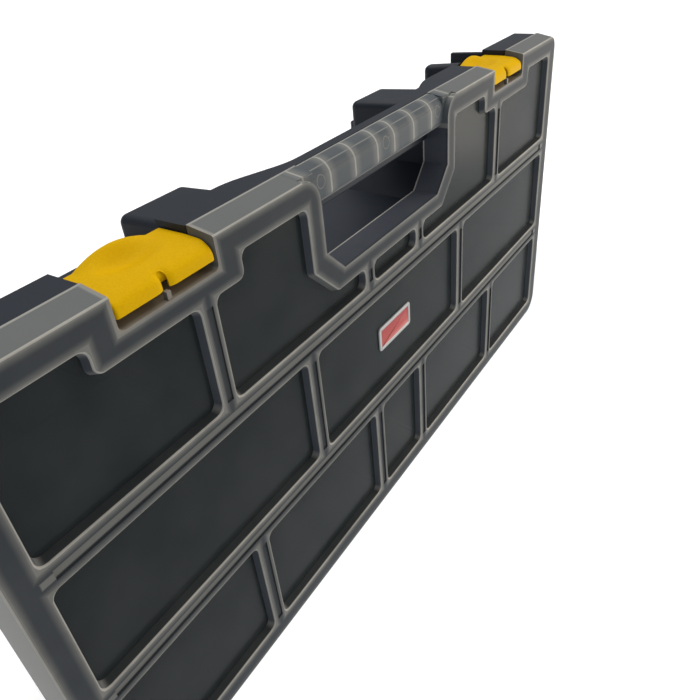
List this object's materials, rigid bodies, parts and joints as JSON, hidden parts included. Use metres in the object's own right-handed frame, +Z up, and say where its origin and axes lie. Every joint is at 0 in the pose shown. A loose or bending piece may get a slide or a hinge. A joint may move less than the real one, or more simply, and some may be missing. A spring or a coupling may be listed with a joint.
{
  "type": "organizer case",
  "caption": "Flat carry case for small parts: dark compartment tray, frosted hinged lid with sunk panels, carry handle in the top edge and swinging latches.",
  "frame": {"origin": "under the middle of the case, on the surface that it stands on", "axes": "+X along the width, +Y from the lid to the tray's back, +Z up towards the handle"},
  "size_m": [0.384, 0.058, 0.1842],
  "materials": {
    "lid": "frosted see-through polypropylene, soft sheen",
    "tray": "dark blue-grey moulded plastic, fine satin grain",
    "latch": "yellow moulded plastic, fine matte grain",
    "divider": "dark blue-grey moulded plastic",
    "badge": "plain glossy plate, left blank",
    "pin": "bright steel wire pin"
  },
  "bodies": {
    "base": {"base_tray": "tray", "divider_a_b": "divider", "divider_b_c": "divider", "divider_c_d": "divider", "divider_d_e": "divider", "divider_f_g": "divider", "divider_g_h": "divider", "divider_i_j": "divider", "divider_j_k": "divider", "divider_k_l": "divider", "divider_l_m": "divider", "hinge_pin_left": "pin", "hinge_pin_middle": "pin", "hinge_pin_right": "pin"},
    "lid": {"lid_shell": "lid", "badge_plate": "badge", "latch_pin_left": "pin", "latch_pin_right": "pin"},
    "latch_left": {"latch_left": "latch"},
    "latch_right": {"latch_right": "latch"}
  },
  "joints": [
    {"name": "lid_hinge", "type": "hinge", "parent": "base", "child": "lid", "pos_m": [0, -0.0145, 0.0052], "axis": [1, 0, 0], "range_deg": [0, 120]},
    {"name": "latch_left_pivot", "type": "hinge", "parent": "lid", "child": "latch_left", "pos_m": [-0.1198, -0.024, 0.17785], "axis": [1, 0, 0], "range_deg": [0, 100]},
    {"name": "latch_right_pivot", "type": "hinge", "parent": "lid", "child": "latch_right", "pos_m": [0.1198, -0.024, 0.17785], "axis": [1, 0, 0], "range_deg": [0, 100]}
  ]
}
